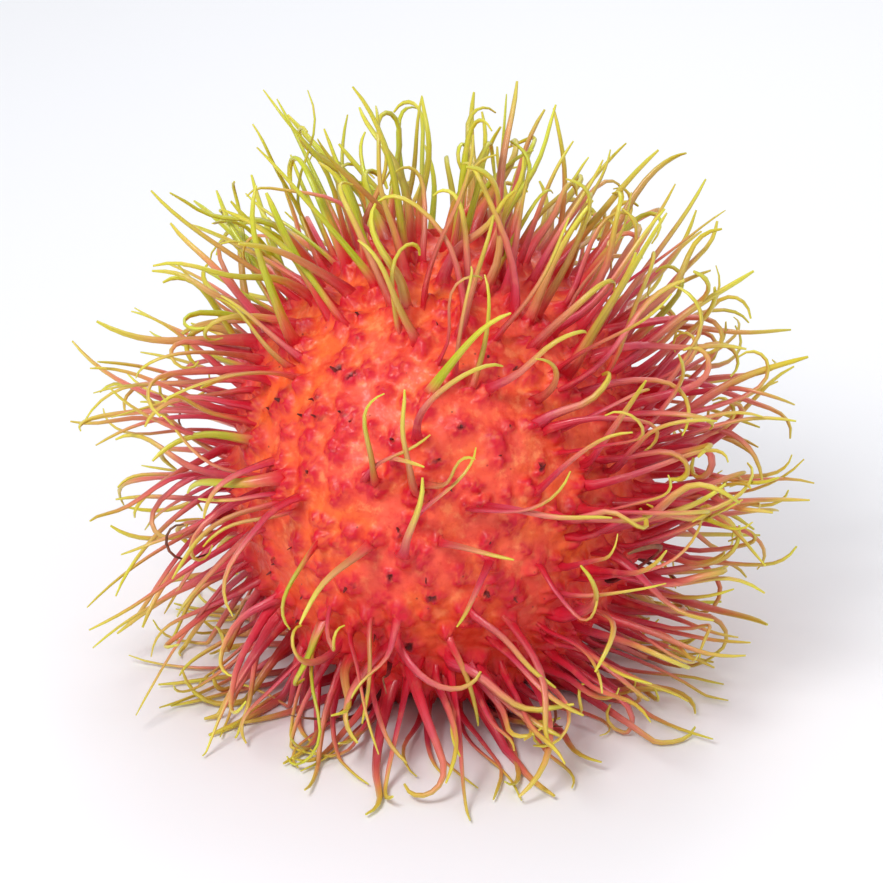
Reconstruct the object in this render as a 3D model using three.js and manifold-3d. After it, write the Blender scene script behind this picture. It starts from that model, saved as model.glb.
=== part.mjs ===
// A whole rambutan, as picked: an egg-shaped rind that carries soft, curling spinterns all over.
// The fruit grew as one piece, so it is one solid. It lies with its stem end leaning back, on the
// small flat spot that its own weight pressed into the rind. The low spinterns splay along the ground.
//
// Millimetres, +Z up, the origin at the middle of the flat spot. -Y is the front, and the stem end
// points up and back (+Y).

import * as THREE from "three";
import { mergeVertices } from "three/addons/utils/BufferGeometryUtils.js";
import Module from "manifold-3d";

// Rind: a spheroid that is a little longer from stem end to blossom end than it is wide.
const RIND_WIDTH = 40;
const RIND_LENGTH = 45;
const RIND_DETAIL = 7;
const STEM_LEAN = THREE.MathUtils.degToRad(25);
const FLAT_DEPTH = 1; // how far the rest spot is pressed in

// Stem scar: the low round pad where the stalk broke off. Its foot is sunk in the rind and its top
// is dished. Heights are measured from the rind's surface.
const SCAR_FOOT_RADIUS = 3.9;
const SCAR_FOOT_HEIGHT = -1.6;
const SCAR_SHOULDER_RADIUS = 3.1;
const SCAR_SHOULDER_HEIGHT = 0.65;
const SCAR_RIM_RADIUS = 2.5;
const SCAR_RIM_HEIGHT = 1.1;
const SCAR_DISH_HEIGHT = 0.6;
const SCAR_SIDES = 14;

// Spinterns: the soft spines. Each has a flared root, a thin flat blade and a curled tip.
const SPINTERN_COUNT = 196;
const SPINTERN_LENGTH = 16.5;
const LENGTH_SPREAD = 0.22; // share of the length that varies either way
const SPINTERN_SIDES = 3;
const BLADE_THICKNESS = 0.62; // thickness as a share of width
const HALF_WIDTHS = [1.35, 0.72, 0.58, 0.46, 0.34]; // from the root towards the tip, evenly spaced
const ROOT_SUNK = 0.9; // how deep a root starts inside the rind
const PATH_STEPS = 12;
const MOST_SIDEWAYS = 0.55; // the furthest a root leans aside, as a share of straight out
const CURL = 1.5; // radians between the straightest and the most curled tip
const CURL_BACK = 0.25; // share of the spinterns that curl back over their root's lean
const DROOP = 0.5; // how much its own weight turns a spintern down
const SEED = 29;

const BARE_POLE = 0.985; // no spintern grows this close to the stem scar's middle, as a cosine
const LOWEST_ROOT = 1.6; // height of the lowest roots, which keeps the flat spot bare
const GROUND_GAP = 1.05; // how far a spintern's middle line stays above the ground
const RIND_GAP = 0.9; // how far it stays off the rind
const GOLDEN_TURN = Math.PI * (3 - Math.sqrt(5));

const wasm = await Module();
wasm.setup();

// Half sizes of the rind, the way its stem end points, and where its middle sits above the flat spot.
const halfWidth = RIND_WIDTH / 2;
const halfLength = RIND_LENGTH / 2;
const stemWay = new THREE.Vector3(0, Math.sin(STEM_LEAN), Math.cos(STEM_LEAN));
const leaning = new THREE.Quaternion().setFromUnitVectors(new THREE.Vector3(0, 0, 1), stemWay);
const rindScale = new THREE.Vector3(halfWidth, halfWidth, halfLength);
const middle = middleAboveFlat();

// The spheroid's lowest point lies straight under its middle only when it stands upright. Leaning,
// it moves forward, and the middle is set back by as much, so that the flat spot is at the origin.
function middleAboveFlat() {
  const stretch = (halfLength ** 2 - halfWidth ** 2) * stemWay.z;
  const down = new THREE.Vector3(0, 0, halfWidth ** 2).addScaledVector(stemWay, stretch);
  const halfHeight = Math.sqrt(down.z);
  return down.multiplyScalar((halfHeight - FLAT_DEPTH) / down.z);
}

// A seeded random number from 0 to 1 (mulberry32).
function seededRandom(seed) {
  let state = seed;
  return () => {
    state = (state + 0x6d2b79f5) | 0;
    let t = Math.imul(state ^ (state >>> 15), 1 | state);
    t = (t + Math.imul(t ^ (t >>> 7), 61 | t)) ^ t;
    return ((t ^ (t >>> 14)) >>> 0) / 4294967296;
  };
}

function solidFrom(geometry) {
  const bare = geometry.clone();
  bare.deleteAttribute("normal");
  bare.deleteAttribute("uv");
  const merged = mergeVertices(bare, 1e-4);
  return new wasm.Manifold(
    new wasm.Mesh({
      numProp: 3,
      vertProperties: merged.attributes.position.array,
      triVerts: new Uint32Array(merged.index.array),
    }),
  );
}

function geometryFrom(solid) {
  const mesh = solid.getMesh();
  return new THREE.BufferGeometry()
    .setAttribute("position", new THREE.BufferAttribute(mesh.vertProperties, mesh.numProp))
    .setIndex(new THREE.BufferAttribute(mesh.triVerts, 1));
}

// The rind's surface point and outward normal for a direction in the fruit's own upright frame.
function rindAt(direction) {
  const point = direction.clone().multiply(rindScale).applyQuaternion(leaning).add(middle);
  const normal = direction.clone().divide(rindScale).applyQuaternion(leaning).normalize();
  return { point, normal };
}

// Moves a point out until it is clear of the rind and above the ground.
function keepClear(point) {
  const local = point.clone().sub(middle).applyQuaternion(leaning.clone().invert());
  const reach = local.clone().divide(rindScale).length();
  const wanted = 1 + RIND_GAP / halfWidth;
  if (reach < wanted) local.multiplyScalar(wanted / reach);
  point.copy(local.applyQuaternion(leaning).add(middle));
  point.z = Math.max(point.z, GROUND_GAP);
  return point;
}

function rindSolid() {
  const skin = new THREE.IcosahedronGeometry(1, RIND_DETAIL)
    .scale(...rindScale)
    .applyQuaternion(leaning)
    .translate(...middle);
  const belowGround = new THREE.BoxGeometry(RIND_WIDTH, RIND_WIDTH, RIND_WIDTH);
  belowGround.translate(0, 0, -RIND_WIDTH / 2);
  return solidFrom(skin).subtract(solidFrom(belowGround));
}

function stemScarSolid() {
  const top = rindAt(new THREE.Vector3(0, 0, 1)).point;
  const profile = [
    [0, SCAR_FOOT_HEIGHT],
    [SCAR_FOOT_RADIUS, SCAR_FOOT_HEIGHT],
    [SCAR_SHOULDER_RADIUS, SCAR_SHOULDER_HEIGHT],
    [SCAR_RIM_RADIUS, SCAR_RIM_HEIGHT],
    [0, SCAR_DISH_HEIGHT],
  ].map(([radius, height]) => new THREE.Vector2(radius, height));
  const pad = new THREE.LatheGeometry(profile, SCAR_SIDES)
    .rotateX(Math.PI / 2)
    .applyQuaternion(leaning)
    .translate(...top);
  return solidFrom(pad);
}

// A random number from -1 to 1.
function eitherWay(random) {
  return 2 * random() - 1;
}

// The middle line of one spintern, walked outwards from its root in short steps.
function spinternPath({ point, normal }, random) {
  const anyWay = new THREE.Vector3(eitherWay(random), eitherWay(random), eitherWay(random));
  const aside = anyWay.cross(normal).normalize();
  const heading = normal.clone().addScaledVector(aside, MOST_SIDEWAYS * random()).normalize();
  const curlAxis = new THREE.Vector3().crossVectors(normal, aside).normalize();
  const curl = CURL * (random() - CURL_BACK);
  const step = (SPINTERN_LENGTH * (1 + LENGTH_SPREAD * eitherWay(random))) / PATH_STEPS;
  const points = [point.clone().addScaledVector(normal, -ROOT_SUNK), point.clone()];
  for (let i = 0; i < PATH_STEPS; i++) {
    const along = (i + 1) / PATH_STEPS;
    heading.applyAxisAngle(curlAxis, (2 * curl * along) / PATH_STEPS);
    heading.z -= DROOP / PATH_STEPS;
    heading.normalize();
    points.push(keepClear(points.at(-1).clone().addScaledVector(heading, step)));
  }
  return new THREE.CatmullRomCurve3(points);
}

// A lathe-turned blade, one unit long up its Y axis, laid along the path.
function spinternSolid(path) {
  const rings = HALF_WIDTHS.length;
  const profile = [
    new THREE.Vector2(0, 0),
    ...HALF_WIDTHS.map((width, i) => new THREE.Vector2(width, i / rings)),
    new THREE.Vector2(0, 1),
  ];
  const blade = new THREE.LatheGeometry(profile, SPINTERN_SIDES);
  const frames = path.computeFrenetFrames(rings);
  const places = blade.getAttribute("position");
  for (let i = 0; i < places.count; i++) {
    const ring = Math.round(places.getY(i) * rings);
    const place = path
      .getPointAt(ring / rings)
      .addScaledVector(frames.normals[ring], places.getX(i))
      .addScaledVector(frames.binormals[ring], -places.getZ(i) * BLADE_THICKNESS);
    places.setXYZ(i, ...place);
  }
  return solidFrom(blade);
}

// Roots spread evenly over the rind on a golden-angle spiral that runs from the stem end.
function spinternRoots() {
  const roots = [];
  for (let i = 0; i < SPINTERN_COUNT; i++) {
    const height = 1 - (2 * (i + 0.5)) / SPINTERN_COUNT;
    const around = i * GOLDEN_TURN;
    const ring = Math.sqrt(1 - height ** 2);
    const root = rindAt(new THREE.Vector3(ring * Math.cos(around), ring * Math.sin(around), height));
    if (height < BARE_POLE && root.point.z > LOWEST_ROOT) roots.push(root);
  }
  return roots;
}

const random = seededRandom(SEED);
const spinterns = spinternRoots().map((root) => spinternSolid(spinternPath(root, random)));
const fruit = wasm.Manifold.union([rindSolid(), stemScarSolid(), ...spinterns]);

const rambutan = new THREE.Group();
const fruitMesh = new THREE.Mesh(
  geometryFrom(fruit),
  new THREE.MeshStandardMaterial({ color: 0xd9352b, roughness: 0.55, metalness: 0 }),
);
fruitMesh.name = "rambutan_fruit";
rambutan.add(fruitMesh);

export default rambutan;
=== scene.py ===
"""A ripe rambutan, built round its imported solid: the rind, the spinterns (the soft spines) and the
stem scar, on a plain pale floor.

Everything is in metres, +Z up, with the origin at the middle of the flat spot that the fruit rests
on. -Y is the front, and the stem end leans back, towards +Y.
"""

import math

import bpy
import numpy as np
from bpy.props import FloatProperty, FloatVectorProperty, IntProperty, PointerProperty
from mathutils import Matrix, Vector


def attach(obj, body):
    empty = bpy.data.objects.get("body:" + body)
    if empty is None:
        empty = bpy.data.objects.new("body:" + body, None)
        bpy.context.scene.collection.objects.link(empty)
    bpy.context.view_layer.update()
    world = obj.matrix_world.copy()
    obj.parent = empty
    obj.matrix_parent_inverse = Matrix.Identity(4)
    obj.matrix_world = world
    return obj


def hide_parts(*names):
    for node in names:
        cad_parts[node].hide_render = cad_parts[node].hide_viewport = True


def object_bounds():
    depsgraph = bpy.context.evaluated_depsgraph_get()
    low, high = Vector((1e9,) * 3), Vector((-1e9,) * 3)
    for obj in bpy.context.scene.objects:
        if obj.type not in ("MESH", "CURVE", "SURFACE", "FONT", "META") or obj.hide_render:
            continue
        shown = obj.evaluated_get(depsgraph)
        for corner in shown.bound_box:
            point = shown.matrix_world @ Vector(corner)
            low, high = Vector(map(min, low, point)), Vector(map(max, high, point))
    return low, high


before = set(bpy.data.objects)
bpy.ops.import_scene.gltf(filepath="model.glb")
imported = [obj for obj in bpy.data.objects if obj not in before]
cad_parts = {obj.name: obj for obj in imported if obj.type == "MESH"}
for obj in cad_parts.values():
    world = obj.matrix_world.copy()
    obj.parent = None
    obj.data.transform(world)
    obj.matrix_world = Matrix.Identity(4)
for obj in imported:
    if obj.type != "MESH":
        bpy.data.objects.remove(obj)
CAD_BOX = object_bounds()

bl_info = {
    "name": "Ripe Rambutan",
    "version": (1, 0, 0),
    "blender": (4, 5, 0),
    "location": "View3D > Sidebar > Rambutan",
    "description": "Builds a ripe rambutan with its spinterns and stem scar, and a plain stage",
    "category": "Add Mesh",
}

FRUIT_NODE = "rambutan_fruit"
MM = 0.001
GOLDEN_TURN = math.pi * (3 - math.sqrt(5))
FLOOR_GAP = 0.02 * MM  # keeps the flat spot from sharing the floor's plane
CHANNEL_TOP = 255
DISPLAY_GAMMA = 2.2

# Settings that a tree also has as inputs, under the same names.
RIND_SIZES = ("Lean", "Mound Height", "Mound Radius", "Pebble Height", "Pebble Size", "Scar Depth")
BLADE_WIDTHS = ("Root Width", "Shaft Width", "Tip Width")


# ---------------------------------------------------------------- small helpers


def paint(red, green, blue):
    """A colour given 0 to 255 a channel, as the linear values that a shader works in."""
    return tuple((c / CHANNEL_TOP) ** DISPLAY_GAMMA for c in (red, green, blue))


def unit(vectors):
    return vectors / np.linalg.norm(vectors, axis=-1, keepdims=True)


def smooth_step(low, high, value):
    """0 below low, 1 above high, with a soft rise between them; low may be the larger one."""
    t = np.clip((value - low) / (high - low), 0, 1)
    return t * t * (3 - 2 * t)


def turned(vectors, axes, angles):
    """Each vector turned about its own unit axis by its own angle."""
    cos, sin = np.cos(angles)[:, None], np.sin(angles)[:, None]
    along = np.sum(vectors * axes, axis=1, keepdims=True)
    return vectors * cos + np.cross(axes, vectors) * sin + axes * along * (1 - cos)


def feed(tree, socket, value):
    """Gives a socket a plain value, or wires another node's output to it."""
    if isinstance(value, bpy.types.NodeSocket):
        tree.links.new(value, socket)
    elif socket.type == "RGBA":
        socket.default_value = (*value[:3], 1)
    else:
        socket.default_value = value


def put(tree, kind, wires=None, **settings):
    """Adds a node. settings are its own options; wires gives its inputs, each by name or number."""
    node = tree.nodes.new(kind)
    for option, value in settings.items():
        setattr(node, option, value)
    for key, value in (wires or {}).items():
        feed(tree, node.inputs[key], value)
    return node


def result(tree, kind, wires=None, **settings):
    """Adds a node and returns its first output."""
    return put(tree, kind, wires, **settings).outputs[0]


def maths(tree, operation, *values):
    return result(tree, "ShaderNodeMath", dict(enumerate(values)), operation=operation)


def times(tree, first, second):
    return maths(tree, "MULTIPLY", first, second)


def vector_maths(tree, operation, *values):
    """A Vector Math node's result: a number for a length or a dot product."""
    node = put(tree, "ShaderNodeVectorMath", dict(enumerate(values)), operation=operation)
    return node.outputs["Value" if operation in {"LENGTH", "DOT_PRODUCT"} else "Vector"]


def scaled(tree, vector, amount):
    wires = {"Vector": vector, "Scale": amount}
    return result(tree, "ShaderNodeVectorMath", wires, operation="SCALE")


def ranged(tree, value, low, high, to_low=0.0, to_high=1.0):
    """A Map Range node: a soft rise from to_low to to_high, held beyond both ends."""
    wires = {"Value": value, "From Min": low, "From Max": high, "To Min": to_low, "To Max": to_high}
    return result(tree, "ShaderNodeMapRange", wires, interpolation_type="SMOOTHSTEP")


def mixed(tree, amount, first, second):
    """A number mixed from two."""
    return result(tree, "ShaderNodeMix", {0: amount, 2: first, 3: second}, data_type="FLOAT")


def blended(tree, amount, first, second, blend="MIX"):
    """A colour mixed from two."""
    wires = {0: amount, 6: first, 7: second}
    return put(tree, "ShaderNodeMix", wires, data_type="RGBA", blend_type=blend).outputs[2]


def ramp(tree, value, stops):
    """A Color Ramp with these stops, each a place from 0 to 1 and a colour."""
    node = put(tree, "ShaderNodeValToRGB", {"Fac": value})
    marks = node.color_ramp.elements
    while len(marks) < len(stops):
        marks.new(0.5)
    for mark, (place, skin) in zip(marks, stops):
        mark.position = place
        mark.color = (*skin, 1)
    return node.outputs["Color"]


def attribute(tree, name, output="Fac"):
    """A shader's reading of one of the piece's own attributes."""
    return put(tree, "ShaderNodeAttribute", attribute_name=name).outputs[output]


def new_group(name, kind, inputs, outputs):
    """An empty node group with named inputs and outputs. Returns it, its inputs and its end node."""
    tree = bpy.data.node_groups.new(name, kind)
    for in_out, sockets in (("INPUT", inputs), ("OUTPUT", outputs)):
        for label, socket_type in sockets.items():
            tree.interface.new_socket(label, in_out=in_out, socket_type="NodeSocket" + socket_type)
    start = tree.nodes.new("NodeGroupInput")
    return tree, start.outputs, tree.nodes.new("NodeGroupOutput")


def close_group(tree, end, results):
    for label, socket in results.items():
        tree.links.new(socket, end.inputs[label])


def new_object(name, data):
    """An object in the scene, for a mesh, a lamp or a camera."""
    made = bpy.data.objects.new(name, data)
    bpy.context.scene.collection.objects.link(made)
    return made


def baked(name, tree, inputs, start=None):
    """Runs a Geometry Nodes tree on a starting mesh and returns its result as a plain mesh object."""
    maker = new_object(name + "_maker", start or bpy.data.meshes.new(name + "_start"))
    modifier = maker.modifiers.new("Maker", "NODES")
    modifier.node_group = tree
    for socket in tree.interface.items_tree:
        if socket.in_out == "INPUT" and socket.name in inputs:
            modifier[socket.identifier] = inputs[socket.name]
    depsgraph = bpy.context.evaluated_depsgraph_get()
    made = maker.evaluated_get(depsgraph)
    mesh = bpy.data.meshes.new_from_object(made, preserve_all_data_layers=True, depsgraph=depsgraph)
    bpy.data.objects.remove(maker)
    if not mesh.polygons:
        raise RuntimeError(f"{tree.name} made nothing for {name}")
    mesh.name = name
    return new_object(name, mesh)


def settings_for(labels, settings):
    """Settings as the values of a tree's inputs."""
    return {label: getattr(settings, label.lower().replace(" ", "_")) for label in labels}


def mesh_points(mesh):
    points = np.empty(len(mesh.vertices) * 3)
    mesh.vertices.foreach_get("co", points)
    return points.reshape(-1, 3)


def hold_facts(mesh, facts):
    """Stores a number for each of a mesh's points, under each name."""
    for name, values in facts.items():
        mesh.attributes.new(name, "FLOAT", "POINT").data.foreach_set("value", values)


def hand_over(piece):
    """Puts a finished piece under the root body and hides the imported fruit solid."""
    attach(piece, "root")
    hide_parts(FRUIT_NODE)


# ---------------------------------------------------------------- settings


def length(name, description, default):
    """A length in millimetres as a property in metres."""
    return FloatProperty(
        name=name, description=description, default=default * MM, unit="LENGTH", precision=5
    )


def angle(name, description, degrees):
    return FloatProperty(
        name=name, description=description, default=math.radians(degrees), unit="ROTATION"
    )


def share(name, description, default):
    return FloatProperty(name=name, description=description, default=default, subtype="FACTOR")


def colour(name, description, *display):
    return FloatVectorProperty(
        name=name, description=description, default=paint(*display), subtype="COLOR"
    )


class RindSettings(bpy.types.PropertyGroup):
    width: length("Width", "Width of the rind without its spinterns", 40)
    length: length("Length", "From stem end to blossom end, without spinterns", 45)
    lean: angle("Lean", "How far the stem end leans back", 25)
    flat_depth: length("Flat depth", "How far the rest spot is pressed in", 1)
    mound_height: length("Mound height", "Height of the swelling that each spintern grows from", 1.25)
    mound_radius: length("Mound radius", "Reach of that swelling", 2.0)
    pebble_size: length("Pebble size", "Width of the skin's small cobbles", 0.95)
    pebble_height: length("Pebble height", "Height of those cobbles", 0.1)
    scar_depth: length("Scar depth", "Depth of the pit where a spintern broke off", 0.45)
    coral: colour("Coral", "The skin's main colour", 244, 92, 68)
    orange: colour("Orange", "Broad patches that are less ripe", 246, 108, 48)
    # pale patches that are partly the skin's own mottling and partly painted highlight
    peach_and_painted_highlight: colour("Peach", "Pale flecks", 255, 160, 100)
    # the red patches are the skin's own colour; the same red laid on low down and in the creases is
    # painted shade
    red: colour("Red", "The ripest skin, low on the fruit and in its creases", 206, 20, 18)
    crimson: colour("Crimson", "Skin at the foot of a spintern", 208, 18, 46)
    maroon: colour("Maroon", "Dried skin in the pits", 84, 12, 16)


class SpinternSettings(bpy.types.PropertyGroup):
    roots: IntProperty(name="Roots", description="Places where a spintern grows", default=780)
    length: length("Length", "Length of a middling spintern", 16.4)
    root_width: length("Root width", "Width where a spintern leaves the rind", 2.8)
    shaft_width: length("Shaft width", "Width just above the flared root", 1.3)
    tip_width: length("Tip width", "Width at the tip", 0.4)
    worn_share: share("Worn share", "Share of the spinterns left on the worn front", 0.42)
    curl: angle("Curl", "How far a hooked tip turns over", 120)
    droop: share("Droop", "How much its own weight turns a spintern down", 0.22)
    seed: IntProperty(name="Seed", description="Chooses another fruit of the same kind", default=11)
    pink: colour("Pink", "The lower half of a red spintern", 208, 68, 92)
    green: colour("Green", "The shaft of a green spintern", 176, 190, 16)
    straw: colour("Straw", "The tips", 224, 222, 70)


class ScarSettings(bpy.types.PropertyGroup):
    radius: length("Radius", "Radius of the stem scar's rim", 2.1)
    height: length("Height", "How far the rim stands out of the rind", 0.55)
    bark: colour("Bark", "The dry rim", 138, 88, 56)
    wood: colour("Wood", "The broken wood inside", 190, 148, 100)


class StageSettings(bpy.types.PropertyGroup):
    elevation: angle("Elevation", "How far the camera looks down", 25)
    lens: FloatProperty(name="Lens", description="Focal length", default=150, unit="CAMERA")
    fill: share("Fill", "Share of the picture that the fruit takes", 0.84)
    floor: colour("Floor", "The floor's colour", 240, 240, 243)


# ---------------------------------------------------------------- the fruit's form


class Spheroid:
    """The smooth rind: a spheroid that leans back and is pressed flat where it rests."""

    PASSES = 3  # pushing points off the rind and off the floor in turn settles in this many

    def __init__(self, rind):
        self.half = np.array([rind.width / 2, rind.width / 2, rind.length / 2])
        cos, sin = math.cos(rind.lean), math.sin(rind.lean)
        self.to_world = np.array([[1, 0, 0], [0, cos, sin], [0, -sin, cos]])
        stem = self.to_world[:, 2]
        stretch = (self.half[2] ** 2 - self.half[0] ** 2) * stem[2]
        down = np.array([0, 0, self.half[0] ** 2]) + stretch * stem
        self.middle = down * (math.sqrt(down[2]) - rind.flat_depth) / down[2]

    def surface(self, directions):
        """Points and outward normals for directions in the fruit's own upright frame."""
        points = (directions * self.half) @ self.to_world.T + self.middle
        return points, unit((directions / self.half) @ self.to_world.T)

    def kept_clear(self, points, gap):
        """Points moved out of the rind, and up off the floor, by at least gap."""
        for _ in range(self.PASSES):
            local = (points - self.middle) @ self.to_world
            reach = np.linalg.norm(local / self.half, axis=1)
            wanted = 1 + gap / self.half[0]
            local *= np.maximum(1, wanted / reach)[:, None]
            points = local @ self.to_world.T + self.middle
            points[:, 2] = np.maximum(points[:, 2], gap)
        return points


def front_way(elevation):
    """The direction that faces the camera."""
    return np.array([0, -math.cos(elevation), math.sin(elevation)])


def patchy(directions, rng, waves=7, pace=2.6, paces=(0.6, 1.4)):
    """A number from about -1 to 1 that changes slowly over the fruit."""
    total = np.zeros(len(directions))
    for _ in range(waves):
        way = unit(rng.normal(size=3)) * pace * rng.uniform(*paces)
        total += np.sin(directions @ way + rng.uniform(0, 2 * math.pi))
    return total / math.sqrt(waves)


class Roots:
    """Every place where a spintern grows or grew, spread evenly from the stem end down."""

    STEM_CLEAR = 0.987  # cosine of the bare ring round the stem scar
    LOWEST = 1.2 * MM  # keeps the flat spot bare
    SCATTER = 0.035  # how far roots stray from even spacing, as a share of the fruit's half size
    WORN_ASIDE = np.array([-0.26, 0, -0.14])  # the worn front lies a little left and low
    WORN_EDGE = math.cos(math.radians(58))
    WORN_FULL = math.cos(math.radians(42))
    BROKEN_ELSEWHERE = 0.035
    DRIED_ABOVE = 0.006
    DRIED_BELOW = 0.05
    DRYING_FROM = 0.15  # height over the fruit's middle where the share of dried ones grows,
    DRYING_FULL = -0.35  # and where it is full
    VIGOUR_RANGE = (0.75, 1.2)
    DARKNESS = (0.33, 0.42)  # middle and spread of how dark a broken spintern's pit is

    def __init__(self, scene):
        spin = scene.rambutan_spinterns
        rng = np.random.default_rng(spin.seed)
        fruit = Spheroid(scene.rambutan_rind)
        spot = np.arange(spin.roots) + 0.5
        height = 1 - 2 * spot / spin.roots
        around = spot * GOLDEN_TURN
        ring = np.sqrt(1 - height**2)
        directions = np.stack([ring * np.cos(around), ring * np.sin(around), height], axis=1)
        directions = unit(directions + rng.normal(scale=self.SCATTER, size=directions.shape))
        points, normals = fruit.surface(directions)
        grows = (directions[:, 2] < self.STEM_CLEAR) & (points[:, 2] > self.LOWEST)
        self.points, self.normals = points[grows], normals[grows]
        self.ways = unit(self.points - fruit.middle)
        self.count = len(self.points)
        facing = self.ways @ unit(front_way(scene.rambutan_stage.elevation) + self.WORN_ASIDE)
        self.worn = smooth_step(self.WORN_EDGE, self.WORN_FULL, facing)
        loss = self.worn * (1 - spin.worn_share) + (1 - self.worn) * self.BROKEN_ELSEWHERE
        self.broken = rng.random(self.count) < loss
        below = smooth_step(self.DRYING_FROM, self.DRYING_FULL, self.ways[:, 2])
        drying = self.DRIED_ABOVE + (self.DRIED_BELOW - self.DRIED_ABOVE) * below
        self.dried = ~self.broken & (rng.random(self.count) < drying)
        self.vigour = rng.uniform(*self.VIGOUR_RANGE, self.count)
        darkness = np.clip(rng.normal(*self.DARKNESS, self.count), 0, 1)
        self.darkness = np.where(self.broken, darkness, 0)


# ---------------------------------------------------------------- what both trees use


def moved(tree, geometry, **place):
    """Geometry with its points set to a Position or moved by an Offset."""
    return result(tree, "GeometryNodeSetPosition", {"Geometry": geometry, **place})


def named(tree, name, data_type="FLOAT"):
    """The reading of a named attribute."""
    return result(tree, "GeometryNodeInputNamedAttribute", {"Name": name}, data_type=data_type)


def stored(tree, geometry, name, value, data_type="FLOAT"):
    """Geometry that also holds a value under a name."""
    wires = {"Geometry": geometry, "Name": name, "Value": value}
    return result(tree, "GeometryNodeStoreNamedAttribute", wires, data_type=data_type)


def held_up(tree, place, operation, *softness):
    """A place whose height is kept at FLOOR_GAP or more."""
    parts = put(tree, "ShaderNodeSeparateXYZ", {0: place}).outputs
    height = maths(tree, operation, parts["Z"], FLOOR_GAP, *softness)
    return result(tree, "ShaderNodeCombineXYZ", {"X": parts["X"], "Y": parts["Y"], "Z": height})


def finished(tree, end, geometry, skin):
    """Ends a tree with smooth shading, real geometry and its material."""
    geometry = result(tree, "GeometryNodeSetShadeSmooth", {"Geometry": geometry})
    geometry = result(tree, "GeometryNodeRealizeInstances", {"Geometry": geometry})
    wires = {"Geometry": geometry, "Material": skin}
    close_group(tree, end, {"Geometry": result(tree, "GeometryNodeSetMaterial", wires)})


# ---------------------------------------------------------------- the rind


class Relief:
    """The rind's finer relief. A width is a pattern's own size, and a height or a reach is how far
    it moves the skin, or the edge of a mound."""

    CUBE_VERTICES = 127  # along each side of the cube that the ball is made from
    FRAY_WIDTH = 0.8 * MM
    FRAY_REACH = 1.2 * MM
    BULGE_WIDTH = 2.6 * MM
    BULGE_REACH = 3.2 * MM
    WAVE_WIDTH = 7 * MM
    WAVE_HEIGHT = 1.1 * MM
    GRAIN_WIDTH = 1.4 * MM
    GRAIN_HEIGHT = 0.45 * MM
    RIB_HEIGHT = 0.24 * MM
    RIB_NUMBER = 1.7  # how many ribs run down a mound
    RIB_CHANGE = 2 * MM  # how far apart two roots have ribs of their own
    MOUND_STEEPNESS = 1.6
    BROKEN_LOSS = 0.4  # share of its mound that a broken spintern's root has lost
    PIT_RADIUS = 0.1  # share of the mound's reach that the smallest pit takes
    PIT_GROWTH = 0.13  # what the darkest pit takes more
    PIT_FLOOR = 0.3  # share of the pit that is flat
    COBBLE_SOFTNESS = 0.35
    COBBLE_SCATTER = 0.9
    COBBLE_RANGE = (0.75, 0.1)  # distances from its middle where a cobble rises and where it is full
    FLOOR_SOFTNESS = 0.15 * MM  # how softly the skin turns into the flat spot


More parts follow.
